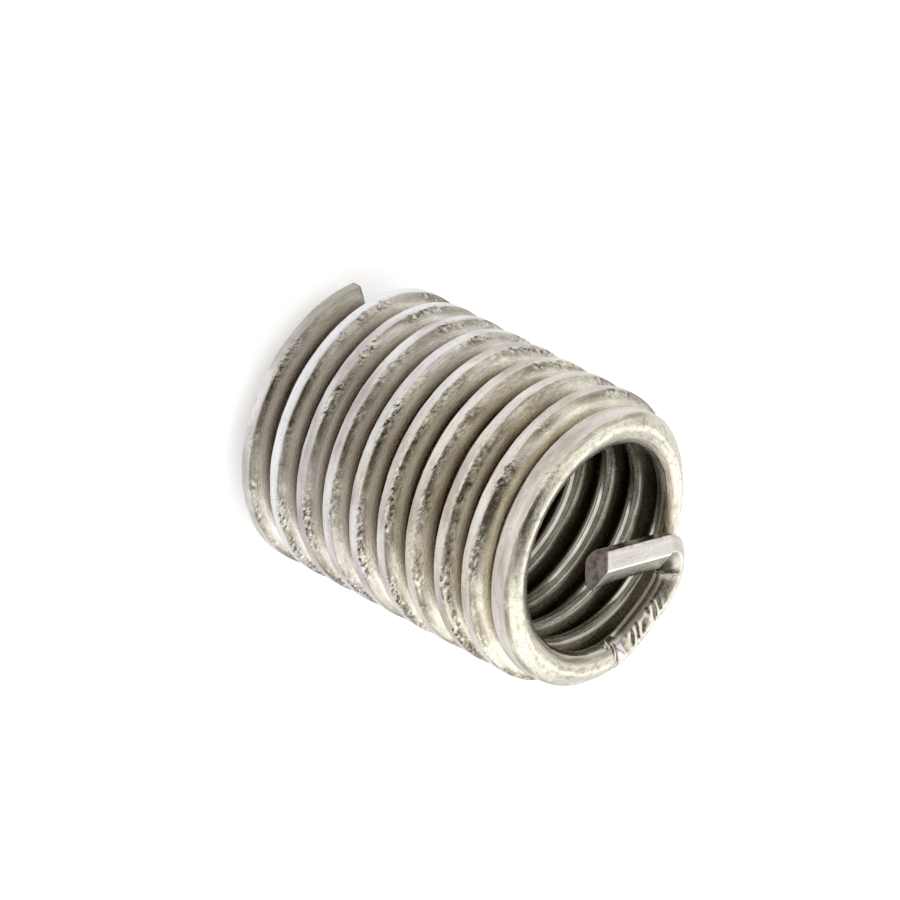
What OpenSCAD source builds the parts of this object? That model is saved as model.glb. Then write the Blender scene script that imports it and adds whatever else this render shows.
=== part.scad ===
// Threaded insert: one wire of diamond section wound into an open coil with a driving tang.
// Millimetres. The origin is on the coil's axis, level with the lowest point of the free end.
// The coil rises along +Z, its free end starts towards +X, and the tang lies across the top.

/* [Coil] */
// diameter over the outer crests before fitting
outer_d = 10; // [9.8:0.05:10.6]
// depth of the wire from its outer to its inner crest
wire_depth = 1.45; // [1.35:0.05:1.6]
// rise of the wire in one turn
pitch = 1.25; // [1.15:0.05:1.35]
// clear gap between one turn and the next
turn_gap = 0.15; // [0.1:0.01:0.25]
// turns from the free end to where the wire levels out
coil_turns = 9.45; // [3.45:1:14.45]

/* [Wire section] */
// height of the flat on the outer crest
outer_flat = 0.375; // [0.3:0.025:0.5]
// height of the flat on the inner crest
inner_flat = 0.4; // [0.3:0.025:0.5]
// angle between the two flanks of the thread
thread_angle = 60; // [56:1:64]

/* [Last turn] */
// how far the outer crest is lowered on the last turn
last_drop = 0.3; // [0.15:0.05:0.35]
// angle before the level part at which the crest starts to drop
crest_lead = 320; // [240:10:340]
// angle over which the crest drops
crest_run = 70; // [30:10:120]
// how far the dressed front corner reaches down the outer crest
corner_drop = 0.44; // [0.2:0.02:0.5]
// how far the dressed front corner reaches along the inner flank
corner_reach = 0.09; // [0.04:0.01:0.14]
// angle before the level part at which the corner is first dressed
corner_lead = 378; // [360:2:390]
// angle for which the corner stays fully dressed
corner_span = 90; // [60:5:120]
// angle over which the dressing comes in and dies out
corner_fade = 60; // [30:5:80]
// share of the full dressing that is left on the level end
end_dressing = 0.7; // [0.3:0.05:0.9]
// angle over which the dressing of the level end comes in
end_fade = 160; // [90:10:180]

/* [Notch] */
// angle from the start of the level part to the notch
notch_lead = 26; // [15:1:60]
// depth of the break-off notch in the end face of the wire
notch_depth = 0.35; // [0.2:0.05:0.4]
// width of the notch at its mouth
notch_w = 0.6; // [0.3:0.02:0.8]

/* [Tang] */
// angle from the notch to the corner of the bend
arc_angle = 61; // [50:1:70]
// angle by which the wire kinks inwards at the notch
notch_kink = 20; // [8:1:26]
// how far the corner of the bend lies inside the coil, on the middle of the wire
bend_inset = 0.525; // [0.4:0.025:0.8]
// angle through which the wire turns at the bend
bend_turn = 90; // [84:1:95]
// radius of the hollow inside the bend
bend_hollow = 0.12; // [0.08:0.02:0.3]
// how far the end of the tang passes the axis
tang_past = 0.4; // [-0.3:0.05:0.6]
// angle between the tang and the line from its bend to the axis
tang_skew = 8; // [0:1:14]

/* [Hidden] */
segments_per_turn = 48;
arc_segments = 10;
bend_segments = 8;

half_angle = thread_angle / 2;
// the two pairs of flanks meet at this width, so the wire is never wider
meeting_w = wire_depth * tan(half_angle) + (outer_flat + inner_flat) / 2;
wire_w = min(pitch - turn_gap, meeting_w);
middle_r = (outer_d - wire_depth) / 2;
crest_x = wire_depth / 2;
outer_shoulder_x = crest_x - (wire_w - outer_flat) / 2 / tan(half_angle);
inner_shoulder_x = (wire_w - inner_flat) / 2 / tan(half_angle) - crest_x;

level_at = coil_turns * 360;
notch_at = level_at + notch_lead;
bend_at = notch_at + arc_angle;
notch_half = asin(notch_w / 2 / middle_r);

// share of a change that starts at one angle and is complete a run later
function eased(angle, start, run) = max(0, min(1, (angle - start) / run));

function unit(bearing) = [cos(bearing), sin(bearing)];

// A station of the wire is [[x, y], height, bearing of the outer side, crest drop, dressing, notch].

// height of the wire's middle after some angle of winding
function level(angle) = wire_w / 2 + pitch * min(angle, level_at) / 360;

function crest_drop(angle) = last_drop * eased(angle, level_at - crest_lead, crest_run);

function early_dressing(angle) = eased(angle, level_at - corner_lead, corner_fade)
    * (1 - eased(angle, level_at - corner_lead + corner_fade + corner_span, corner_fade));

function dressing(angle) =
    max(early_dressing(angle), end_dressing * eased(angle, notch_at - end_fade, end_fade));

function coil_station(angle, notch) =
    [middle_r * unit(angle), level(angle), angle, crest_drop(angle), dressing(angle), notch];

// the whole steps that end clear of the notch
step = 360 / segments_per_turn;
coil_steps = floor((notch_at - notch_half) / step - 0.3);
coil_path = [for (i = [0 : coil_steps]) coil_station(i * step, 0)];
notch_path = [
    coil_station(notch_at - notch_half, 0),
    coil_station(notch_at, notch_depth),
    coil_station(notch_at + notch_half, 0),
];

// the rest of the wire is level: an arc, the bend and the straight tang
end_level = level(level_at);
end_share = dressing(notch_at);
tang_bearing = bend_at + 180 + tang_skew;
arc_bearing = tang_bearing - bend_turn;
bend_r = bend_hollow + wire_depth / 2;
bend_reach = middle_r - bend_inset;
tang_length = bend_reach * cos(tang_skew) + tang_past;
arc_start = middle_r * unit(notch_at + notch_half);
start_bearing = notch_at + 90 + notch_kink;
bend_corner = bend_reach * unit(bend_at);
arc_end = bend_corner - bend_r * tan(bend_turn / 2) * unit(arc_bearing);
bend_centre = arc_end + bend_r * unit(arc_bearing + 90);

// the arc is a curve that starts along one line and ends along another, pulled to where they meet
reach_between = arc_end - arc_start;
pull = (reach_between[0] * sin(arc_bearing) - reach_between[1] * cos(arc_bearing))
    / sin(arc_bearing - start_bearing);
arc_pull = arc_start + pull * unit(start_bearing);

function arc_point(s) =
    pow(1 - s, 2) * arc_start + 2 * s * (1 - s) * arc_pull + s * s * arc_end;
function arc_heading(s) =
    let (run = (1 - s) * (arc_pull - arc_start) + s * (arc_end - arc_pull)) atan2(run[1], run[0]);

arc_path = [
    for (i = [1 : arc_segments])
        let (s = i / arc_segments)
            [arc_point(s), end_level, arc_heading(s) - 90, last_drop, end_share, 0]
];
bend_path = [
    for (i = [1 : bend_segments])
        let (s = i / bend_segments, bearing = arc_bearing + s * bend_turn - 90)
            [bend_centre + bend_r * unit(bearing), end_level, bearing, last_drop * (1 - s), end_share * (1 - s), 0]
];
tang_path = [
    [bend_corner + tang_length * unit(tang_bearing), end_level, tang_bearing - 90, 0, 0, 0],
];

// section of the wire about its middle as [outwards, upwards], from the outer crest over the top
function section(drop, share, notch) =
    let (
        half_flat = outer_flat / 2 + drop * tan(half_angle),
        crest = [crest_x - drop, half_flat - share * corner_drop],
        flank = [
            inner_shoulder_x - share * corner_reach * cos(half_angle),
            wire_w / 2 - share * corner_reach * sin(half_angle)
        ],
        shoulder = (1 - share) * [outer_shoulder_x, wire_w / 2] + share * (crest + flank) / 2,
        floor_z = wire_w / 2 - notch
    )
    [
        [crest_x - drop, -half_flat],
        [crest[0], min(crest[1], floor_z)],
        [shoulder[0], min(shoulder[1], floor_z)],
        [flank[0], min(flank[1], floor_z)],
        [-crest_x, min(inner_flat / 2, floor_z)],
        [-crest_x, -inner_flat / 2],
        [inner_shoulder_x, -wire_w / 2],
        [outer_shoulder_x, -wire_w / 2],
    ];

// the section's corners at a station, in space
function corners(station) = [
    for (c = section(station[3], station[4], station[5]))
        let (place = station[0] + c[0] * unit(station[2])) [place[0], place[1], station[1] + c[1]]
];

// skin of triangles over a row of sections, closed at both ends
module wire(path) {
    count = 8;
    last = len(path) - 1;
    points = [for (station = path) each corners(station)];
    sides = [
        for (i = [0 : last - 1], j = [0 : count - 1])
            let (a = i * count + j, b = i * count + (j + 1) % count)
                each [[a, a + count, b], [b, a + count, b + count]]
    ];
    first_cap = [for (j = [1 : count - 2]) [0, j, j + 1]];
    last_cap = [for (j = [1 : count - 2]) [last * count, last * count + j + 1, last * count + j]];
    polyhedron(points, concat(sides, first_cap, last_cap));
}

module coil_insert() {
    color([0.72, 0.70, 0.66])
        wire(concat(coil_path, notch_path, arc_path, bend_path, tang_path));
}

coil_insert();
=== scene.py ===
import math
from types import SimpleNamespace

import bpy
import numpy as np
from mathutils import Matrix, Vector


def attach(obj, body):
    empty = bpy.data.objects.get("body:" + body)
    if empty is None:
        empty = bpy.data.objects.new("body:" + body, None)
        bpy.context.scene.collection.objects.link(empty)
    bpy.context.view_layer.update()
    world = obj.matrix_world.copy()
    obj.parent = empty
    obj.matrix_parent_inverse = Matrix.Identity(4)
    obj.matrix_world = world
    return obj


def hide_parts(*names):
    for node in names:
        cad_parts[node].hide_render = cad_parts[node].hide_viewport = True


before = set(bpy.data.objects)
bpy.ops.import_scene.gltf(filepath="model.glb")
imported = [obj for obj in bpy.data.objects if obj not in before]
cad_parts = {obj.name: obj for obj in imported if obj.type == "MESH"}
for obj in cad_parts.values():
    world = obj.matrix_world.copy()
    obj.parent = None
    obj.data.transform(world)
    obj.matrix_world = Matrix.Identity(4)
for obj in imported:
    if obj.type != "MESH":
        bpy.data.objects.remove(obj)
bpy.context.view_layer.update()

# Sizes of the wire, the same as in the solid; lengths in millimetres and angles in degrees
OUTER_D = 10.0
WIRE_DEPTH = 1.45
PITCH = 1.25
TURN_GAP = 0.15
COIL_TURNS = 9.45
OUTER_FLAT = 0.375
INNER_FLAT = 0.40
HALF_ANGLE = 30.0
LAST_DROP = 0.3
CREST_LEAD = 320.0
CREST_RUN = 70.0
CORNER_DROP = 0.44
CORNER_REACH = 0.09
CORNER_LEAD = 378.0
CORNER_SPAN = 90.0
CORNER_FADE = 60.0
END_DRESSING = 0.7
END_FADE = 160.0
NOTCH_LEAD = 26.0
NOTCH_DEPTH = 0.35
NOTCH_W = 0.6
ARC_ANGLE = 61.0
NOTCH_KINK = 20.0
BEND_INSET = 0.525
BEND_TURN = 90.0
BEND_HOLLOW = 0.12
TANG_PAST = 0.4
TANG_SKEW = 8.0

WIRE_W = PITCH - TURN_GAP
MIDDLE_R = (OUTER_D - WIRE_DEPTH) / 2
CREST_X = WIRE_DEPTH / 2
SLOPE = math.tan(math.radians(HALF_ANGLE))
OUTER_SHOULDER_X = CREST_X - (WIRE_W - OUTER_FLAT) / 2 / SLOPE
INNER_SHOULDER_X = (WIRE_W - INNER_FLAT) / 2 / SLOPE - CREST_X
MM = 0.001

LEVEL_AT = COIL_TURNS * 360
NOTCH_AT = LEVEL_AT + NOTCH_LEAD
BEND_AT = NOTCH_AT + ARC_ANGLE
NOTCH_HALF = math.degrees(math.asin(NOTCH_W / 2 / MIDDLE_R))
NOTCH_FROM, NOTCH_TO = NOTCH_AT - NOTCH_HALF, NOTCH_AT + NOTCH_HALF

# Steps of the mesh along the wire: angles on the turns and in the notch, numbers on the rest
COIL_STEP = 1.55
LAST_STEP = 1.1
LAST_RUN = 380.0
NOTCH_STEP = 0.3
ARC_STEPS = 110
BEND_STEPS = 40
TANG_STEPS = 60

# The bend lies further along and turns further, and the tang's crest is lowered
BEND_FURTHER = 0.22
TURN_FURTHER = 3.0
TANG_DROP = 0.10

# Depth of the notch across its mouth: two narrow slots with a facet between them, then a sloping side
NOTCH_SHARES = [0, 0.05, 0.12, 0.18, 0.26, 0.32, 0.38, 0.42, 1]
NOTCH_DEPTHS = [0, 0.9, 0.9, 0.55, 0.55, 1.0, 1.0, 0.60, 0]
SLOT_SHARES = [0, 1, 1, 0, 0, 1, 1, 0, 0]
FACET_SHARES = [0, 0, 0, 1, 1, 0, 0, 1, 1]
# it is shallower at the outer side of the wire than at the inner side
NOTCH_SIDES = [-0.2, 0.4]
NOTCH_SHALLOW = 0.55

# The turns sway a little along the axis, but not at the ends, and the free tip closes up
SWAY = 0.05
SWAY_TURNS = 6.2
SWAY_FROM = 1.4
SWAY_FADE = 360.0
SWAY_END_LEAD = 540.0
TIP_CLOSING = 0.08
TIP_RUN = 70.0


def unit(bearing):
    b = np.radians(bearing)
    return np.stack([np.cos(b), np.sin(b)], axis=-1)


def smooth(share):
    return share * share * (3 - 2 * share)


def eased(at, start, run):
    """Share of a change that starts at one place and is complete a run later, without corners."""
    return smooth(np.clip((at - start) / run, 0, 1))


def above(field, limit):
    """Share by which a field between 0 and 1 stands above a limit."""
    return np.clip(field - limit, 0, 1) / (1 - limit)


def wander(s, scale, seed):
    """Smooth irregular curve between about -1 and 1 along the wire; scale is its wave length."""
    knots = np.random.default_rng(seed).uniform(-1, 1, int(s.max() / scale) + 4)
    q = s / scale
    i = np.floor(q).astype(int)
    f = smooth(q - i)
    return knots[i] * (1 - f) + knots[i + 1] * f


def mottle(s, v, length, width, seed):
    """Smooth irregular field between 0 and 1 over the wire's skin."""
    rows, columns = int(s.max() / length) + 3, int(v.max() / width) + 3
    knots = np.random.default_rng(seed).uniform(0, 1, (rows, columns))
    q, r = s / length, v / width
    i, j = np.floor(q).astype(int), np.floor(r).astype(int)
    f, g = smooth(q - i), smooth(r - j)
    low = knots[i, j] * (1 - f) + knots[i + 1, j] * f
    high = knots[i, j + 1] * (1 - f) + knots[i + 1, j + 1] * f
    return low * (1 - g) + high * g


# The wire's path
def level(angle):
    """Height of the wire's middle after some angle of winding."""
    fade = eased(angle, 0, SWAY_FADE) * (1 - eased(angle, LEVEL_AT - SWAY_END_LEAD, SWAY_FADE))
    sway = SWAY * np.cos(2 * math.pi * (angle / 360 - SWAY_FROM) / SWAY_TURNS) * fade
    closing = TIP_CLOSING * (1 - eased(angle, 0, TIP_RUN))
    return WIRE_W / 2 + PITCH * np.minimum(angle, LEVEL_AT) / 360 + sway + closing


def crest_drop(angle):
    return LAST_DROP * eased(angle, LEVEL_AT - CREST_LEAD, CREST_RUN)


def dressing(angle):
    fade_at = LEVEL_AT - CORNER_LEAD + CORNER_FADE + CORNER_SPAN
    early = eased(angle, LEVEL_AT - CORNER_LEAD, CORNER_FADE) * (1 - eased(angle, fade_at, CORNER_FADE))
    late = END_DRESSING * np.clip((angle - NOTCH_AT + END_FADE) / END_FADE, 0, 1)
    return np.maximum(early, late)


def mouth_share(angle):
    """0 where the notch starts and 1 where it ends."""
    return (angle - NOTCH_AT + NOTCH_HALF) / (2 * NOTCH_HALF)


def stations(middle, height, bearing, drop, share, notch=0.0):
    """Rows of the path: the wire's middle, bearing of its outer side, crest drop, dressing and notch."""
    rows = np.ones(len(middle))
    return np.column_stack([middle] + [value * rows for value in (height, bearing, drop, share, notch)])


def coil_path():
    turns = np.arange(0, NOTCH_AT - LAST_RUN, COIL_STEP)
    last = np.arange(NOTCH_AT - LAST_RUN, NOTCH_FROM - NOTCH_STEP, LAST_STEP)
    across = np.arange(NOTCH_FROM, NOTCH_TO, NOTCH_STEP)
    angles = np.concatenate([turns, last, across, [NOTCH_TO]])
    notch = NOTCH_DEPTH * np.interp(mouth_share(angles), NOTCH_SHARES, NOTCH_DEPTHS)
    middle = MIDDLE_R * unit(angles)
    return stations(middle, level(angles), angles, crest_drop(angles), dressing(angles), notch)


def end_path():
    """The level end of the wire: an arc that leaves the circle inwards, the bend and the straight tang."""
    end_level = float(level(np.array(LEVEL_AT)))
    end_share = float(dressing(np.array(NOTCH_AT)))
    arc_bearing = BEND_AT + 180 + TANG_SKEW - BEND_TURN
    end_bearing = arc_bearing + BEND_TURN + TURN_FURTHER
    bend_r = BEND_HOLLOW + WIRE_DEPTH / 2
    bend_reach = MIDDLE_R - BEND_INSET
    tang_length = bend_reach * math.cos(math.radians(TANG_SKEW)) + TANG_PAST
    start = MIDDLE_R * unit(NOTCH_TO)
    start_run = unit(NOTCH_AT + 90 + NOTCH_KINK)
    end_run = unit(arc_bearing)
    corner = bend_reach * unit(BEND_AT) + BEND_FURTHER * end_run
    lead = bend_r * math.tan(math.radians((BEND_TURN + TURN_FURTHER) / 2))
    end = corner - lead * end_run
    centre = end + bend_r * unit(arc_bearing + 90)
    # the arc's two end lines meet here
    pull = start + np.linalg.solve(np.column_stack([start_run, end_run]), end - start)[0] * start_run

    s = np.linspace(0, 1, ARC_STEPS + 1)[1:, None]
    point = (1 - s) ** 2 * start + 2 * s * (1 - s) * pull + s * s * end
    run = (1 - s) * (pull - start) + s * (end - pull)
    heading = np.degrees(np.unwrap(np.arctan2(run[:, 1], run[:, 0])))
    whole_turns = round((arc_bearing - heading[-1]) / 360) * 360
    arc = stations(point, end_level, heading + whole_turns - 90, LAST_DROP, end_share)

    s = np.linspace(0, 1, BEND_STEPS + 1)[1:]
    bearing = arc_bearing + s * (BEND_TURN + TURN_FURTHER) - 90
    left = 1 - smooth(s)
    drop = TANG_DROP + (LAST_DROP - TANG_DROP) * left
    bend = stations(centre + bend_r * unit(bearing), end_level, bearing, drop, end_share * left)

    s = np.linspace(0, 1, TANG_STEPS + 1)[1:, None]
    straight = corner + (lead + s * (tang_length - lead)) * unit(end_bearing)
    tang = stations(straight, end_level, end_bearing - 90, TANG_DROP, 0.0)
    return np.vstack([arc, bend, tang])


coil_rows = coil_path()
path = np.vstack([coil_rows, end_path()])
count = len(path)
arc_from = len(coil_rows)
bend_from = arc_from + ARC_STEPS
tang_from = bend_from + BEND_STEPS
on_coil = np.arange(count) < arc_from

# Where along the wire each of its parts is, as shares that come in and fade out
LAST_TURN_LEAD, LAST_TURN_RUN = 340.0, 60.0
PAST_NOTCH_LEAD, PAST_NOTCH_RUN = 0.1, 0.3
ARC_END_LEAD, ARC_END_RUN = 0.5, 0.6
along = np.concatenate([[0], np.cumsum(np.linalg.norm(np.diff(path[:, :3], axis=0), axis=1))])
to_end = along[-1] - along
arc_at, bend_at, bend_run = along[arc_from], along[bend_from], along[tang_from] - along[bend_from]
winding = np.where(on_coil, path[:, 3], NOTCH_AT)
last_turn = eased(winding, LEVEL_AT - LAST_TURN_LEAD, LAST_TURN_RUN)
past_notch = eased(along, arc_at + PAST_NOTCH_LEAD, PAST_NOTCH_RUN)
on_arc = past_notch * (1 - eased(along, bend_at - ARC_END_LEAD, ARC_END_RUN))
on_tang = eased(along, bend_at, bend_run)
bend_share = np.clip((along - bend_at) / bend_run, 0, 1)
at_bend = np.sqrt(4 * bend_share * (1 - bend_share))
mouth = np.where(on_coil, mouth_share(winding), 2)
on_slot = np.interp(mouth, NOTCH_SHARES, SLOT_SHARES)
on_facet = np.interp(mouth, NOTCH_SHARES, FACET_SHARES) * (mouth < 1)

# Eight corners of the section at each station, as outwards and upwards from the wire's middle.
# 0 and 1 are the rear and front edges of the outer crest, 2 and 3 the outer and inner front shoulders,
# 4 and 5 the front and rear edges of the inner crest, 6 and 7 the inner and outer rear shoulders.
drop, share, notch = path[:, 4], path[:, 5], path[:, 6]
half_flat = OUTER_FLAT / 2 + drop * SLOPE
cos_h, sin_h = math.cos(math.radians(HALF_ANGLE)), math.sin(math.radians(HALF_ANGLE))
crest = np.column_stack([CREST_X - drop, half_flat - share * CORNER_DROP])
reach = share * CORNER_REACH
flank = np.column_stack([INNER_SHOULDER_X - reach * cos_h, WIRE_W / 2 - reach * sin_h])
plain_shoulder = np.array([OUTER_SHOULDER_X, WIRE_W / 2])
shoulder = (1 - share)[:, None] * plain_shoulder + share[:, None] * (crest + flank) / 2
rear_crest = np.column_stack([CREST_X - drop, -half_flat])
unchanging = [
    (-CREST_X, INNER_FLAT / 2),
    (-CREST_X, -INNER_FLAT / 2),
    (INNER_SHOULDER_X, -WIRE_W / 2),
    (OUTER_SHOULDER_X, -WIRE_W / 2),
]
changing = [rear_crest, crest, shoulder, flank]
corners = np.stack(changing + [np.tile(corner, (count, 1)) for corner in unchanging], axis=1)
CORNERS = corners.shape[1]

# The tang's edges are dulled, though its inner one stays whole at the cut, and its ridge is narrow
REAR_EDGE = np.array([0.45, -0.30])
RIDGE = np.array([0.03, 0.55])
FRONT_EDGE = np.array([-0.61, 0.18])
WHOLE_RUN = 0.7
tang_corners = [
    (0, REAR_EDGE, on_tang),
    (3, RIDGE, on_tang),
    (4, FRONT_EDGE, on_tang * eased(to_end, 0, WHOLE_RUN)),
]
for j, corner, weight in tang_corners:
    corners[:, j] += weight[:, None] * (corner - corners[:, j])

# The inner side of the bend is pressed hollow
HOLLOW_OUT, HOLLOW_DOWN = 0.10, 0.06
corners[:, 3] += at_bend[:, None] * np.array([HOLLOW_OUT, -HOLLOW_DOWN])
corners[:, 4] += at_bend[:, None] * np.array([HOLLOW_OUT / 2, -HOLLOW_DOWN])

# The edges of the crests were left uneven by rolling: depth of it at each edge, wave lengths and seeds
EDGE_DEPTHS = {0: 0.012, 1: 0.018, 4: 0.010, 5: 0.008}
REAR_EDGES = (0, 5)
SLOW_WAVE, QUICK_WAVE, INSET_WAVE = 0.45, 0.17, 0.8
SLOW_SEED, QUICK_SEED, INSET_SEED = 40, 50, 60
SLOW_SHARE, QUICK_SHARE, INSET_SHARE = 0.6, 0.4, 0.4
for j, depth in EDGE_DEPTHS.items():
    slow = wander(along, SLOW_WAVE, SLOW_SEED + j)
    quick = wander(along, QUICK_WAVE, QUICK_SEED + j)
    inset = 1 + wander(along, INSET_WAVE, INSET_SEED + j)
    towards_middle = 1 if j in REAR_EDGES else -1
    corners[:, j, 1] += depth * (SLOW_SHARE * slow + QUICK_SHARE * quick) * towards_middle
    corners[:, j, 0] -= np.sign(corners[:, j, 0]) * INSET_SHARE * depth * inset

# At each corner: its rounding, the points on it and on the side after it, and the bulge of that side
ROUNDING = [0.05, 0.06, 0.22, 0.10, 0.10, 0.16, 0.09, 0.09]
CORNER_POINTS = [3, 4, 3, 3, 3, 4, 2, 2]
SIDE_POINTS = [2, 3, 1, 4, 2, 1, 0, 1]
BULGE = [0, 0.010, 0, 0.010, 0.022, 0.010, 0, 0.010]
CORNER_SHARE = 0.1
MOST_CUT_BACK = 0.42
LEAST_SIDE = 1e-6
# the corners of the tang are crisper
TANG_CRISPNESS = 0.6
softness = (1 - TANG_CRISPNESS * on_tang)[:, None]


def cut_back(here, there, length):
    """Step from a corner towards its neighbour, never past the middle of the side."""
    step = there - here
    side = np.linalg.norm(step, axis=1, keepdims=True)
    return step * np.minimum(MOST_CUT_BACK, length / np.maximum(side, LEAST_SIDE))


def rounded_sections():
    """Ring of points round each section, with each point's place from 0 to 8 round the corners."""
    ring, place = [], []
    for j in range(CORNERS):
        on_j = (j + 1) % CORNERS
        here, back, on = corners[:, j], corners[:, j - 1], corners[:, on_j]
        first = here + cut_back(here, back, ROUNDING[j] * softness)
        last = here + cut_back(here, on, ROUNDING[j] * softness)
        for k in range(CORNER_POINTS[j]):
            s = k / (CORNER_POINTS[j] - 1)
            ring.append((1 - s) ** 2 * first + 2 * s * (1 - s) * here + s * s * last)
            place.append(j + CORNER_SHARE * (2 * s - 1))
        run = on + cut_back(on, here, ROUNDING[on_j] * softness) - last
        outwards = np.column_stack([run[:, 1], -run[:, 0]])
        outwards = outwards / np.linalg.norm(outwards, axis=1, keepdims=True)
        for k in range(SIDE_POINTS[j]):
            s = (k + 1) / (SIDE_POINTS[j] + 1)
            ring.append(last + s * run + 4 * s * (1 - s) * BULGE[j] * outwards)
            place.append(j + CORNER_SHARE + s * (1 - 2 * CORNER_SHARE))
    return np.stack(ring, axis=1), np.array(place)


ring, place = rounded_sections()
size = ring.shape[1]
sides = np.linalg.norm(np.diff(ring, axis=1, append=ring[:, :1]), axis=2)
girth = np.column_stack([np.zeros(count), np.cumsum(sides, axis=1)])
SKIN_LEAN = 0.8
skin_v = girth[:, :size]
skin_s = along[:, None] + SKIN_LEAN * skin_v

# Small dents in patches along the front edge of the outer crest
DENT_DEPTH = 0.012
DENT_LENGTH, DENT_WIDTH, DENT_SEED = 0.20, 0.09, 71
DENT_LIMIT = 0.58
PATCH_LENGTH, PATCH_WIDTH, PATCH_SEED = 1.9, 3.0, 72
PATCH_GAIN, PATCH_LOSS = 2.6, 0.8
dent_zone = np.interp(place, [0.7, 0.95, 1.35, 1.6], [0, 1, 0.8, 0])
dents = above(mottle(skin_s, skin_v, DENT_LENGTH, DENT_WIDTH, DENT_SEED), DENT_LIMIT)
patchy = PATCH_GAIN * mottle(skin_s, skin_v, PATCH_LENGTH, PATCH_WIDTH, PATCH_SEED) - PATCH_LOSS
dents = dents * np.clip(patchy, 0, 1) * dent_zone * (1 - share)[:, None]

# One turn near the tang has a run of deeper pits on its front flank
PIT_DEPTH = 0.03
PIT_RUN = [189.5, 192.0, 197.5, 199.5]
PIT_LENGTH, PIT_WIDTH, PIT_SEED = 0.22, 0.30, 73
PIT_LIMIT = 0.35
PIT_PLACES, PIT_SHARES = [1.1, 1.3, 1.5, 1.7], [0, 1, 0.8, 0]
pit_run = np.interp(along, PIT_RUN, [0, 1, 1, 0])
pits = above(mottle(skin_s, skin_v, PIT_LENGTH, PIT_WIDTH, PIT_SEED), PIT_LIMIT)
pits = pits * pit_run[:, None] * np.interp(place, PIT_PLACES, PIT_SHARES)
outer_flank_normal = np.array([sin_h, cos_h])
ring = ring - (DENT_DEPTH * dents + PIT_DEPTH * pits)[:, :, None] * outer_flank_normal

# Crimp marks on the inner flank of the arc: slanting cuts of uneven spacing and depth
CRIMP_DEPTH = 0.13
CRIMP_LENGTH = 0.42
CRIMP_LEAN = -1.5
CRIMP_WANDER, CRIMP_WANDER_WAVE, CRIMP_WANDER_SEED = 0.4, 0.6, 82
CRIMP_EVEN, CRIMP_UNEVEN_WAVE, CRIMP_UNEVEN_SEED = 0.55, 0.3, 83
CRIMP_DEEPEST = 0.7
CRIMP_END_LEAD, CRIMP_END_RUN = 1.5, 1.0
crimp_zone = np.interp(place, [2.6, 3.0, 3.7, 3.9], [0, 1, 1, 0])
spacing = CRIMP_WANDER * wander(along, CRIMP_WANDER_WAVE, CRIMP_WANDER_SEED)[:, None]
sawtooth = (along[:, None] / CRIMP_LENGTH + CRIMP_LEAN * (place - 3) + spacing) % 1
strength = CRIMP_EVEN + (1 - CRIMP_EVEN) * wander(along, CRIMP_UNEVEN_WAVE, CRIMP_UNEVEN_SEED)
strength = strength * on_arc * (1 - eased(along, bend_at - CRIMP_END_LEAD, CRIMP_END_RUN))
crimps = np.minimum(sawtooth / CRIMP_DEEPEST, (1 - sawtooth) / (1 - CRIMP_DEEPEST))
crimps = crimps * crimp_zone * strength[:, None]
inner_flank_normal = np.array([-sin_h, cos_h])
ring = ring - (CRIMP_DEPTH * crimps)[:, :, None] * inner_flank_normal

# A burr stands into the bore before the notch and leans back from it
BURR_INWARDS, BURR_BACK = 0.42, 0.22
BURR_LEAD, BURR_SPAN = 5.0, 2.0
burr = np.clip(1 - np.abs(winding - NOTCH_AT + BURR_LEAD) / BURR_SPAN, 0, 1) * on_coil
burr = burr[:, None] * np.interp(place, [3.88, 4.0, 4.12], [0, 1, 0])
ring[:, :, 0] -= BURR_INWARDS * burr

cut_depth = notch[:, None] * np.interp(ring[:, :, 0], NOTCH_SIDES, [1, NOTCH_SHALLOW])
notched = np.minimum(ring[:, :, 1], WIRE_W / 2 - cut_depth)
ring[:, :, 1] = np.where(notch[:, None] > 0, notched, ring[:, :, 1])
out = unit(path[:, 3])
xyz = np.empty((count, size, 3))
xyz[:, :, :2] = path[:, None, :2] + ring[:, :, :1] * out[:, None, :]
xyz[:, :, 2] = path[:, None, 2] + ring[:, :, 1]

# Both ends were cut aslant, the free tip furthest at its outer crest and the tang at its inner edge
TIP_SLANT, TIP_SLANT_RUN = 0.20, 0.7
CUT_SHORT, CUT_OUTWARDS, CUT_UPWARDS = -0.15, -0.28, 0.20
CUT_RUN = 0.7
ahead = np.column_stack([-out[:, 1], out[:, 0]])
outwards, upwards = ring[:, :, 0], ring[:, :, 1]
tip_share = (1 - eased(along, 0, TIP_SLANT_RUN))[:, None]
cut_share = (1 - eased(to_end, 0, CUT_RUN))[:, None]
tip_shift = -TIP_SLANT * (outwards + CREST_X) / WIRE_DEPTH * tip_share
cut_shift = (CUT_SHORT + CUT_OUTWARDS * outwards + CUT_UPWARDS * upwards) * cut_share
xyz[:, :, :2] += (tip_shift + cut_shift - BURR_BACK * burr)[:, :, None] * ahead[:, None, :]

# The wire's skin
verts = [tuple(v) for v in (xyz.reshape(-1, 3) * MM)]
faces, uvs = [], []
for i in range(count - 1):
    for j in range(size):
        a, b = i * size + j, i * size + (j + 1) % size
        faces.append((a, a + size, b + size, b))
        for row, column in ((i, j), (i + 1, j), (i + 1, j + 1), (i, j + 1)):
            uvs.append((along[row], girth[row, column]))

CUT_RIM = 0.96


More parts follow.
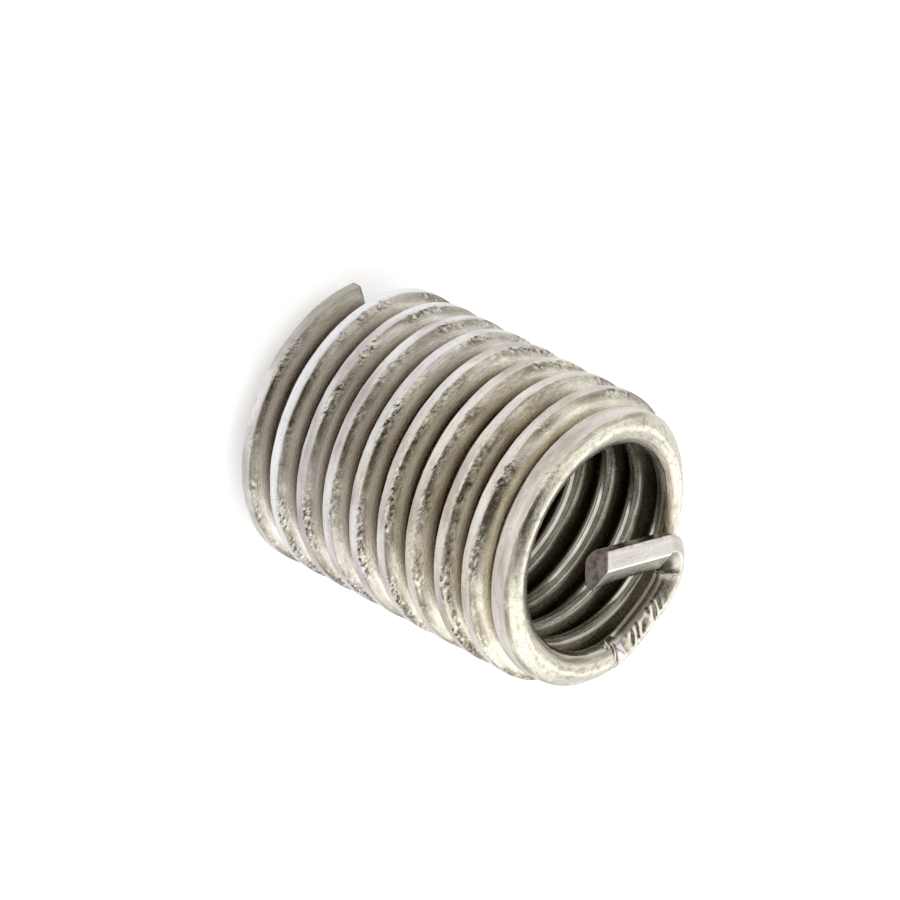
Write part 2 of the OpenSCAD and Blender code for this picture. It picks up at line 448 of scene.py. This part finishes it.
def close_end(i, flipped):
    """Sheared end: a ring set in from the edge and a middle point."""
    base, start = i * size, len(verts)
    middle, flat_middle = xyz[i].mean(axis=0), ring[i].mean(axis=0)
    rim = middle + (xyz[i] - middle) * CUT_RIM
    flat_rim = flat_middle + (ring[i] - flat_middle) * CUT_RIM
    verts.extend(tuple(v) for v in rim * MM)
    verts.append(tuple(middle * MM))
    for j in range(size):
        k = (j + 1) % size
        rim_j, rim_k = (start + j, flat_rim[j]), (start + k, flat_rim[k])
        quad = [(base + j, ring[i, j]), (base + k, ring[i, k]), rim_k, rim_j]
        triangle = [rim_j, rim_k, (start + size, flat_middle)]
        for face in (quad, triangle):
            face = face[::-1] if flipped else face
            faces.append(tuple(v for v, flat in face))
            uvs.extend(tuple(flat) for v, flat in face)


close_end(0, False)
close_end(count - 1, True)
mesh = bpy.data.meshes.new("coil_wire")
mesh.from_pydata(verts, [], faces)
layer = mesh.uv_layers.new(name="wire")
layer.data.foreach_set("uv", np.array(uvs, dtype=np.float32).ravel())
mesh.shade_smooth()

# What lies at each place round the section, for the finish and for its painted shade and painted
# highlights: pairs of a place and a share
ZONES = {
    "crest": [(0.0, 0.3), (0.1, 1.0), (0.86, 1.0), (0.98, 0.0), (7.9, 0.0)],
    "shaded": [(0.90, 0.0), (1.0, 1.0), (1.4, 1.0), (1.7, 0.0)],
    "pitted": [(0.70, 0.0), (0.98, 1.0), (1.3, 0.8), (1.55, 0.0)],
    "mottled": [(0.0, 0.4), (0.5, 0.5), (0.9, 1.0), (1.9, 1.0), (2.05, 0.0), (7.9, 0.0)],
    "inner": [(3.85, 0.0), (4.0, 1.0), (5.0, 1.0), (5.2, 0.0)],
    "groove": [
        (0.0, 0.0), (2.0, 0.0), (2.1, 1.0), (2.9, 1.0), (3.2, 0.0),
        (5.9, 0.0), (6.0, 1.0), (7.1, 0.9), (7.35, 0.5), (7.7, 0.0),
    ],
    "bore": [
        (2.9, 0.0), (3.1, 1.0), (3.8, 1.0), (3.95, 0.0),
        (5.08, 0.0), (5.3, 1.0), (5.9, 1.0), (6.1, 0.0),
    ],
    "face": [(1.45, 0.0), (1.7, 1.0), (3.5, 1.0), (3.7, 0.0)],
    "stripe": [(3.45, 0.0), (3.65, 1.0), (3.9, 1.0), (4.0, 0.0)],
    "slot": [(1.0, 0.0), (1.2, 1.0), (3.9, 1.0), (4.1, 0.0)],
    "facet": [(1.0, 0.0), (1.2, 1.0), (3.7, 1.0), (3.9, 0.0)],
    "hollow": [(3.3, 0.0), (3.6, 1.0), (5.3, 1.0), (5.6, 0.0)],
    "fringe": [(0.3, 0.0), (0.6, 1.0), (1.0, 1.0), (1.15, 0.0)],
    "side": [(1.1, 0.0), (1.3, 1.0), (2.7, 1.0), (2.9, 0.0)],
    "ridge": [(2.8, 0.0), (2.9, 1.0), (3.0, 1.0), (3.1, 0.0)],
    "under": [(3.0, 0.0), (3.1, 1.0), (4.3, 1.0), (4.6, 0.0)],
    "band": [(3.75, 0.0), (3.95, 1.0), (5.1, 1.0), (5.4, 0.0)],
    "arc_flank": [(3.0, 0.0), (3.2, 1.0), (3.75, 1.0), (3.9, 0.0)],
    "pit_line": list(zip(PIT_PLACES, PIT_SHARES)),
}
# How strong each of them is along the wire
SHADED_LAST_TURN, SHADED_TANG = 0.45, 0.55
WEIGHTS = {
    "shaded": 1 - SHADED_LAST_TURN * last_turn - SHADED_TANG * on_tang,
    "pitted": 1 - last_turn,
    "mottled": 1 - on_tang,
    "groove": 1 - last_turn,
    "bore": 1 - last_turn,
    "face": last_turn * (1 - on_tang),
    "stripe": last_turn * (1 - past_notch),
    "slot": on_slot,
    "facet": on_facet,
    "hollow": at_bend,
    "fringe": on_tang,
    "side": on_tang,
    "ridge": on_tang,
    "under": on_tang,
    "band": on_arc,
    "arc_flank": past_notch * (1 - on_tang),
    "pit_line": pit_run,
}


def keep_zone(name, values, at_ends):
    """Keeps a share at each point of the skin, with one value on both sheared ends."""
    ends = np.full(2 * (size + 1), at_ends)
    attribute = mesh.attributes.new(name=name, type="FLOAT", domain="POINT")
    attribute.data.foreach_set("value", np.concatenate([values.ravel(), ends]).astype(np.float32))


for name, pairs in ZONES.items():
    at, value = zip(*pairs)
    round_section = np.interp(place, at, value, period=CORNERS)
    values = np.ones((count, 1)) * round_section
    if name in WEIGHTS:
        values = values * WEIGHTS[name][:, None]
    if name == "facet":
        values = np.maximum(values, burr ** 3)
    keep_zone(name, values, 0.0)
keep_zone("crimped", crimps, 0.0)
keep_zone("cut", np.zeros(count * size), 1.0)
mesh.validate()
coil = bpy.data.objects.new("coil_wire", mesh)
bpy.context.scene.collection.objects.link(coil)
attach(coil, "root")
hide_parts("coil_insert")

# Sockets of a colour mix: its two colours and its result
MIX_A, MIX_B, MIX_RESULT = 6, 7, 2


class Nodes:
    """Short ways to build a node tree. A value is a number, a colour or the output of a node."""

    def __init__(self, tree):
        self.tree = tree
        self.link = tree.links.new

    def new(self, kind, **settings):
        made = self.tree.nodes.new(kind)
        for key, value in settings.items():
            setattr(made, key, value)
        return made

    def feed(self, socket, value):
        if isinstance(value, tuple):
            socket.default_value = (*value, 1)
        elif isinstance(value, (int, float)):
            socket.default_value = value
        else:
            self.link(value, socket)

    def math(self, operation, *values):
        made = self.new("ShaderNodeMath", operation=operation)
        for socket, value in zip(made.inputs, values):
            self.feed(socket, value)
        return made.outputs[0]

    def times(self, a, b):
        return self.math("MULTIPLY", a, b)

    def mix(self, share, a, b):
        made = self.new("ShaderNodeMix", data_type="RGBA")
        self.feed(made.inputs["Factor"], share)
        self.feed(made.inputs[MIX_A], a)
        self.feed(made.inputs[MIX_B], b)
        return made.outputs[MIX_RESULT]

    def ramp(self, value, low, high, first=0.0, last=1.0, kind="LINEAR"):
        """Goes from first to last while the value goes from low to high."""
        made = self.new("ShaderNodeMapRange", interpolation_type=kind)
        for name, limit in (("From Min", low), ("From Max", high), ("To Min", first), ("To Max", last)):
            made.inputs[name].default_value = limit
        self.link(value, made.inputs["Value"])
        return made.outputs["Result"]

    def span(self, share, first, last):
        """Goes from first to last while a share goes from 0 to 1."""
        return self.ramp(share, 0.0, 1.0, first, last)

    def split(self, vector):
        made = self.new("ShaderNodeSeparateXYZ")
        self.link(vector, made.inputs[0])
        return made.outputs

    def dot(self, vector, fixed):
        made = self.new("ShaderNodeVectorMath", operation="DOT_PRODUCT")
        made.inputs[1].default_value = fixed
        self.link(vector, made.inputs[0])
        return made.outputs["Value"]

    def zone(self, name):
        return self.new("ShaderNodeAttribute", attribute_name=name).outputs["Fac"]

    def noise(self, vector, detail, rough):
        made = self.new("ShaderNodeTexNoise")
        for name, value in (("Scale", 1.0), ("Detail", detail), ("Roughness", rough)):
            made.inputs[name].default_value = value
        self.link(vector, made.inputs["Vector"])
        return made.outputs["Fac"]

    def stretched(self, vector, along_scale, across_scale):
        made = self.new("ShaderNodeMapping")
        made.inputs["Scale"].default_value = (along_scale, across_scale, 1)
        self.link(vector, made.inputs["Vector"])
        return made.outputs["Vector"]

    def leaning(self, vector, lean, scale):
        """Along and across the wire, with the marks across it leaning."""
        parts = self.split(vector)
        leant = self.math("MULTIPLY_ADD", parts["Y"], lean, parts["X"])
        made = self.new("ShaderNodeCombineXYZ")
        self.link(self.times(leant, scale), made.inputs["X"])
        self.link(self.times(parts["Y"], scale), made.inputs["Y"])
        return made.outputs[0]


# Colours of the stainless wire, drawn and rolled, and of the painted shade and painted highlights on it;
# far is the free end and near the end with the tang
FAR_FLANK, FAR_FLANK_PALE = (0.64, 0.60, 0.54), (0.78, 0.74, 0.70)
NEAR_FLANK, NEAR_FLANK_STAINED = (0.78, 0.74, 0.64), (0.60, 0.55, 0.46)
FAR_CREST, FAR_CREST_PALE = (0.50, 0.46, 0.45), (0.87, 0.85, 0.85)
NEAR_CREST, NEAR_CREST_PALE = (0.50, 0.45, 0.39), (0.86, 0.82, 0.78)
# painted highlight: a blue-white reflection on the crest around the second turn
PAINTED_HIGHLIGHT_CREST = (0.94, 0.95, 0.98)
INNER_CREST, INNER_CREST_DULL = (0.82, 0.80, 0.73), (0.44, 0.42, 0.35)
# painted shade, a dark reflection beside the outer crest's front edge all round, made patchy by the stains
PAINTED_SHADE_BESIDE_CREST = (0.17, 0.14, 0.10)
# painted shade in the gaps between turns, over the shoulders and the rear flank, left off the exposed last
# turn
PAINTED_SHADE_GROOVE = (0.17, 0.13, 0.10)
# painted shade on the flanks inside the bore, left off the exposed last turn
PAINTED_SHADE_BORE = (0.075, 0.064, 0.036)
TANG_SIDE, TANG_SIDE_PALE = (0.60, 0.555, 0.54), (0.76, 0.72, 0.71)
# painted highlight along the tang's narrow ridge
PAINTED_HIGHLIGHT_RIDGE = (0.97, 0.96, 0.94)
# painted shade on the tang's lower face, under its ridge
PAINTED_SHADE_TANG_UNDER = (0.33, 0.335, 0.285)
TANG_FRINGE = (0.22, 0.16, 0.11)
LAST_FACE, LAST_FACE_PITS = (0.745, 0.715, 0.61), (0.40, 0.37, 0.27)
# painted shade, streaky, along the last turn's inner flank where it turns into the bore
PAINTED_SHADE_BORE_EDGE = (0.17, 0.13, 0.09)
ARC_FLANK = (0.80, 0.76, 0.65)
# painted shade on the arc's inner side, facing the bore
PAINTED_SHADE_ARC_INSIDE = (0.17, 0.145, 0.105)
# painted shade in the deep parts of the crimp cuts
PAINTED_SHADE_CRIMP = (0.27, 0.23, 0.16)
PIT_LINE = (0.05, 0.05, 0.025)
STREAK = (0.26, 0.23, 0.18)
CREAM = (0.86, 0.83, 0.66)
GRAIN = (0.30, 0.26, 0.21)
MARK_PALE, MARK_DARK = (0.94, 0.92, 0.84), (0.06, 0.05, 0.04)
TIP, TIP_STAINED = (0.40, 0.38, 0.32), (0.24, 0.22, 0.17)
FACET = (0.74, 0.68, 0.66)
# painted shade in the notch's two narrow slots
PAINTED_SHADE_SLOT = (0.08, 0.06, 0.05)
# painted shade in the pressed hollow inside the bend
PAINTED_SHADE_HOLLOW = (0.05, 0.04, 0.03)
CUT, CUT_TORN = (0.49, 0.42, 0.39), (0.22, 0.165, 0.13)

# Heights on the coil in metres between which its colour changes
YELLOW_FROM, YELLOW_FULL = 0.0055, 0.0080
CREAM_FROM, CREAM_FULL = 0.0040, 0.0075
# the painted highlight lies on the crest between these heights, around the second turn
HIGHLIGHT_FROM, HIGHLIGHT_FULL, HIGHLIGHT_UNTIL, HIGHLIGHT_GONE = 0.0015, 0.0017, 0.0022, 0.0024
HIGHLIGHT_SHARE = 0.8
# length of the stained free tip, in millimetres along the wire
TIP_STAIN_FULL, TIP_STAIN_GONE = 1.5, 4.0
TIP_STAIN_SHARE = 0.65

# Gloss: roughness from the finest grain, less on the inner crest and more on the sheared ends
ROUGH_LEAST, ROUGH_MOST = 0.14, 0.30
INNER_ROUGH_SHARE = 0.7
CUT_ROUGH = 0.35
CUT_METALLIC = 0.15

# Fine relief
BUMP_STRENGTH = 0.5
BUMP_HEIGHT = 0.00002
STREAK_RELIEF = 0.5
INNER_RELIEF = 0.3
MARK_RELIEF = 4.0


def steel_fields(t):
    """Irregular fields over the wire's skin, each stretched along the wire by its own amount."""
    uv = t.new("ShaderNodeUVMap", uv_map="wire").outputs["UV"]
    height = t.split(t.new("ShaderNodeTexCoord").outputs["Object"])["Z"]
    fields = SimpleNamespace()
    fields.yellow = t.ramp(height, YELLOW_FROM, YELLOW_FULL)
    fields.patches = t.ramp(t.noise(t.stretched(uv, 0.35, 0.9), 3, 0.6), 0.38, 0.62)
    fields.stains = t.ramp(t.noise(t.stretched(uv, 0.5, 1.6), 4, 0.65), 0.42, 0.60)
    fields.streaks = t.noise(t.stretched(uv, 0.7, 12), 4, 0.65)
    fields.grain = t.noise(t.stretched(uv, 6, 9), 4, 0.7)
    fields.marks = t.noise(t.leaning(uv, 0.6, 6.5), 3, 0.6)
    fields.pits = t.noise(t.stretched(uv, 2.6, 4.2), 4, 0.65)
    fields.torn = t.noise(t.stretched(uv, 3.0, 3.0), 4, 0.6)

    marked = t.ramp(t.noise(t.stretched(uv, 0.5, 0.3), 3, 0.6), 0.47, 0.56)
    fields.marked = t.times(marked, t.zone("pitted"))
    cream = t.ramp(t.noise(t.stretched(uv, 0.55, 1.5), 4, 0.7), 0.50, 0.62)
    cream = t.times(cream, t.zone("mottled"))
    fields.cream = t.times(cream, t.ramp(height, CREAM_FROM, CREAM_FULL, 0.35, 1.0))
    # painted highlight on the crest around the second turn
    clean = t.ramp(height, HIGHLIGHT_FROM, HIGHLIGHT_FULL, 0.0, HIGHLIGHT_SHARE)
    clean = t.times(clean, t.ramp(height, HIGHLIGHT_UNTIL, HIGHLIGHT_GONE, 1.0, 0.0))
    fields.clean = t.times(clean, t.zone("crest"))
    tip = t.ramp(t.split(uv)["X"], TIP_STAIN_FULL, TIP_STAIN_GONE, TIP_STAIN_SHARE, 0.0)
    fields.tip = t.times(tip, t.span(t.zone("cut"), 1.0, 0.0))
    return fields


def steel_colour(t, f):
    """The flanks' colour, and over it each layer with its share."""
    far_flank = t.mix(f.patches, FAR_FLANK, FAR_FLANK_PALE)
    near_flank = t.mix(f.stains, NEAR_FLANK, NEAR_FLANK_STAINED)
    far_crest = t.mix(f.patches, FAR_CREST, FAR_CREST_PALE)
    near_crest = t.mix(f.patches, NEAR_CREST, NEAR_CREST_PALE)
    layers = [
        # painted shade beside the outer crest's front edge, patchy with the stains
        (t.times(t.zone("shaded"), t.span(f.stains, 0.32, 0.85)), PAINTED_SHADE_BESIDE_CREST),
        (t.zone("crest"), t.mix(f.yellow, far_crest, near_crest)),
        # painted highlight on the crest around the second turn
        (f.clean, PAINTED_HIGHLIGHT_CREST),
        (t.times(t.zone("side"), 0.8), t.mix(f.patches, TANG_SIDE, TANG_SIDE_PALE)),
        # painted highlight along the tang's ridge
        (t.zone("ridge"), PAINTED_HIGHLIGHT_RIDGE),
        (t.times(t.zone("face"), t.span(f.stains, 1.0, 0.6)), LAST_FACE),
        (t.times(t.zone("face"), t.ramp(f.pits, 0.38, 0.50, 0.75, 0.0)), LAST_FACE_PITS),
        (t.times(t.zone("arc_flank"), t.span(f.stains, 1.0, 0.7)), ARC_FLANK),
        # painted shade, deepest where the crimp cuts are deepest
        (t.ramp(t.zone("crimped"), 0.25, 0.85, 0.0, 0.55), PAINTED_SHADE_CRIMP),
        # painted shade along the last turn's edge into the bore, streaky
        (t.times(t.zone("stripe"), t.ramp(f.streaks, 0.4, 0.6, 0.5, 1.0)), PAINTED_SHADE_BORE_EDGE),
        (t.zone("inner"), t.mix(f.patches, INNER_CREST, INNER_CREST_DULL)),
        # painted shade on the tang's lower face
        (t.times(t.zone("under"), 0.9), PAINTED_SHADE_TANG_UNDER),
        # painted shade on the arc's inner side
        (t.times(t.zone("band"), 0.85), PAINTED_SHADE_ARC_INSIDE),
        (t.times(t.zone("pit_line"), t.ramp(f.pits, 0.44, 0.54, 1.0, 0.0)), PIT_LINE),
        # painted shade in the grooves between turns
        (t.zone("groove"), PAINTED_SHADE_GROOVE),
        # painted shade on the flanks inside the bore
        (t.times(t.zone("bore"), t.span(f.patches, 0.9, 1.0)), PAINTED_SHADE_BORE),
        (t.ramp(f.streaks, 0.45, 0.65, 0.0, 0.22), STREAK),
        (t.times(f.cream, t.ramp(f.marks, 0.42, 0.54, 0.15, 0.9)), CREAM),
        (t.times(t.ramp(f.grain, 0.36, 0.44, 0.35, 0.0), t.span(t.zone("inner"), 1.0, 0.0)), GRAIN),
        (t.times(f.marked, t.ramp(f.marks, 0.53, 0.60, 0.0, 0.6)), MARK_PALE),
        (t.times(f.marked, t.ramp(f.marks, 0.40, 0.47, 1.0, 0.0)), MARK_DARK),
        (f.tip, t.mix(f.stains, TIP, TIP_STAINED)),
        (t.zone("facet"), FACET),
        # painted shade in the notch's slots
        (t.zone("slot"), PAINTED_SHADE_SLOT),
        # painted shade in the bend's hollow
        (t.zone("hollow"), PAINTED_SHADE_HOLLOW),
        (t.times(t.zone("fringe"), t.ramp(f.torn, 0.40, 0.52, 1.0, 0.3)), TANG_FRINGE),
        (t.zone("cut"), t.mix(t.ramp(f.torn, 0.46, 0.62), CUT, CUT_TORN)),
    ]
    body = t.mix(f.yellow, far_flank, near_flank)
    for share, colour in layers:
        body = t.mix(share, body, colour)
    return body


def stainless():
    material = bpy.data.materials.new("stainless")
    material.use_nodes = True
    t = Nodes(material.node_tree)
    f = steel_fields(t)
    shader = t.tree.nodes["Principled BSDF"]
    t.link(steel_colour(t, f), shader.inputs["Base Color"])
    gloss = t.ramp(f.grain, 0.3, 0.7, ROUGH_LEAST, ROUGH_MOST)
    gloss = t.times(gloss, t.span(t.zone("inner"), 1.0, INNER_ROUGH_SHARE))
    t.link(t.math("MULTIPLY_ADD", t.zone("cut"), CUT_ROUGH, gloss), shader.inputs["Roughness"])
    t.link(t.span(t.zone("cut"), 1.0, CUT_METALLIC), shader.inputs["Metallic"])

    relief = t.math("ADD", t.times(f.streaks, STREAK_RELIEF), f.grain)
    relief = t.times(relief, t.span(t.zone("inner"), 1.0, INNER_RELIEF))
    relief = t.math("MULTIPLY_ADD", t.times(f.marks, f.marked), MARK_RELIEF, relief)
    bump = t.new("ShaderNodeBump")
    bump.inputs["Strength"].default_value = BUMP_STRENGTH
    bump.inputs["Distance"].default_value = BUMP_HEIGHT
    t.link(relief, bump.inputs["Height"])
    t.link(bump.outputs["Normal"], shader.inputs["Normal"])
    return material


mesh.materials.append(stainless())

# The view was fitted to the photograph with the outer radius as the unit. The place of the tang end's
# centre and the radius are in pixels of the picture, the turns of the coil's axis in degrees.
CENTRE_PX = (606.15, 551.97)
RADIUS_PX = 154.435
RADIUS = OUTER_D / 2 * MM
DISTANCE = 61.90 * RADIUS
AXIS_TURN = math.radians(27.213)
TILT = math.radians(36.395)
WINDING_TURN = math.radians(-142.212)
FRAME_PX = 900
FITTED_TURNS = 9.5
FITTED_HEIGHT = (WIRE_W / 2 + PITCH * FITTED_TURNS) * MM
SENSOR = 36.0
CLIP_NEAR, CLIP_FAR = 0.01, 10.0


def aim(bearing, height):
    """Direction to a bearing and a height over the horizon, both in degrees."""
    b, e = math.radians(bearing), math.radians(height)
    return np.array([math.cos(e) * math.cos(b), math.cos(e) * math.sin(b), math.sin(e)])


level_away = np.array([math.cos(AXIS_TURN), math.sin(AXIS_TURN), 0.0])
away = math.cos(TILT) * level_away - math.sin(TILT) * np.array([0.0, 0.0, 1.0])
side = np.array([-math.sin(AXIS_TURN), math.cos(AXIS_TURN), 0.0])
rise = np.cross(away, side)
image_x = math.cos(WINDING_TURN) * side + math.sin(WINDING_TURN) * rise
image_y = np.cross(away, image_x)
turn = np.column_stack([image_x, image_y, away])
focal_px = RADIUS_PX * DISTANCE / RADIUS
from_middle = [(c - FRAME_PX / 2) / focal_px * DISTANCE for c in CENTRE_PX]
eye = np.array([0, 0, FITTED_HEIGHT]) - turn.T @ np.array([*from_middle, DISTANCE])
spin = turn.T @ np.diag([1.0, -1.0, -1.0])
camera = bpy.data.cameras.new("view")
camera.sensor_width = SENSOR
camera.lens = SENSOR * focal_px / FRAME_PX
camera.clip_start = CLIP_NEAR
camera.clip_end = CLIP_FAR
view = bpy.data.objects.new("view", camera)
view.matrix_world = Matrix.Translation(eye.tolist()) @ Matrix(spin.tolist()).to_4x4()
bpy.context.scene.collection.objects.link(view)
bpy.context.scene.camera = view

# Pale floor, white in the steel's reflections
FLOOR_HALF = 0.3
FLOOR_COLOUR = (0.86, 0.86, 0.86)
FLOOR_LIFT = 0.50
h = FLOOR_HALF
floor_mesh = bpy.data.meshes.new("floor")
floor_mesh.from_pydata([(-h, -h, 0), (h, -h, 0), (h, h, 0), (-h, h, 0)], [], [(0, 1, 2, 3)])
floor = bpy.data.objects.new("floor", floor_mesh)
bpy.context.scene.collection.objects.link(floor)


def floor_finish():
    material = bpy.data.materials.new("floor")
    material.use_nodes = True
    t = Nodes(material.node_tree)
    t.tree.nodes.clear()
    rays = t.new("ShaderNodeLightPath").outputs
    matte = t.new("ShaderNodeBsdfDiffuse")
    t.feed(matte.inputs["Color"], FLOOR_COLOUR)
    glow = t.new("ShaderNodeEmission")
    t.link(t.times(rays["Is Camera Ray"], FLOOR_LIFT), glow.inputs["Strength"])
    lifted = t.new("ShaderNodeAddShader")
    t.link(matte.outputs[0], lifted.inputs[0])
    t.link(glow.outputs[0], lifted.inputs[1])
    white = t.new("ShaderNodeEmission")
    seen = t.new("ShaderNodeMixShader")
    mirrored = t.math("MAXIMUM", rays["Is Glossy Ray"], rays["Is Transmission Ray"])
    t.link(mirrored, seen.inputs["Fac"])
    t.link(lifted.outputs[0], seen.inputs[1])
    t.link(white.outputs[0], seen.inputs[2])
    t.link(seen.outputs[0], t.new("ShaderNodeOutputMaterial").inputs["Surface"])
    return material


floor_mesh.materials.append(floor_finish())

# Soft studio light: a white surround, a dimmer dome above it, and a narrow warm part left unlit
SURROUND_COLOUR = (1.0, 1.0, 1.0)
DOME_COLOUR = (0.84, 0.84, 0.84)
UNLIT_COLOUR = (0.10, 0.085, 0.06)
SURROUND_TOP, DOME_FROM = 0.20, 0.36
UNLIT = aim(56, 68)
UNLIT_CORE, UNLIT_EDGE = 24.0, 34.0
UNLIT_SIDE = aim(142, 0)
SIDE_CORE, SIDE_EDGE = 12.0, 22.0


def studio():
    world = bpy.data.worlds.new("studio")
    world.use_nodes = True
    t = Nodes(world.node_tree)
    direction = t.new("ShaderNodeTexCoord").outputs["Generated"]
    dome_share = t.ramp(t.split(direction)["Z"], SURROUND_TOP, DOME_FROM, kind="SMOOTHSTEP")
    edge, core = math.cos(math.radians(UNLIT_EDGE)), math.cos(math.radians(UNLIT_CORE))
    unlit = t.ramp(t.dot(direction, UNLIT), edge, core, kind="SMOOTHSTEP")
    aside = t.math("ABSOLUTE", t.dot(direction, UNLIT_SIDE))
    edge, core = math.sin(math.radians(SIDE_EDGE)), math.sin(math.radians(SIDE_CORE))
    unlit = t.times(unlit, t.ramp(aside, edge, core, kind="SMOOTHSTEP"))
    lit = t.mix(dome_share, SURROUND_COLOUR, DOME_COLOUR)
    t.link(t.mix(unlit, lit, UNLIT_COLOUR), t.tree.nodes["Background"].inputs["Color"])
    return world


bpy.context.scene.world = studio()

SOFTBOX_DISTANCE = 0.30
COIL_MIDDLE = np.array([0, 0, 0.006])


def softbox(name, bearing, height, width, watts):
    lamp = bpy.data.lights.new(name, "AREA")
    lamp.shape = "SQUARE"
    lamp.size = width
    lamp.energy = watts
    o = bpy.data.objects.new(name, lamp)
    o.location = COIL_MIDDLE + SOFTBOX_DISTANCE * aim(bearing, height)
    o.rotation_mode = "QUATERNION"
    o.rotation_quaternion = Vector(-aim(bearing, height)).to_track_quat("-Z", "Y")
    bpy.context.scene.collection.objects.link(o)


softbox("key", bearing=178, height=42, width=0.26, watts=0.18)
softbox("back", bearing=236, height=38, width=0.20, watts=0.10)
softbox("fill", bearing=295, height=48, width=0.24, watts=0.06)

bpy.context.scene.view_settings.view_transform = "Standard"
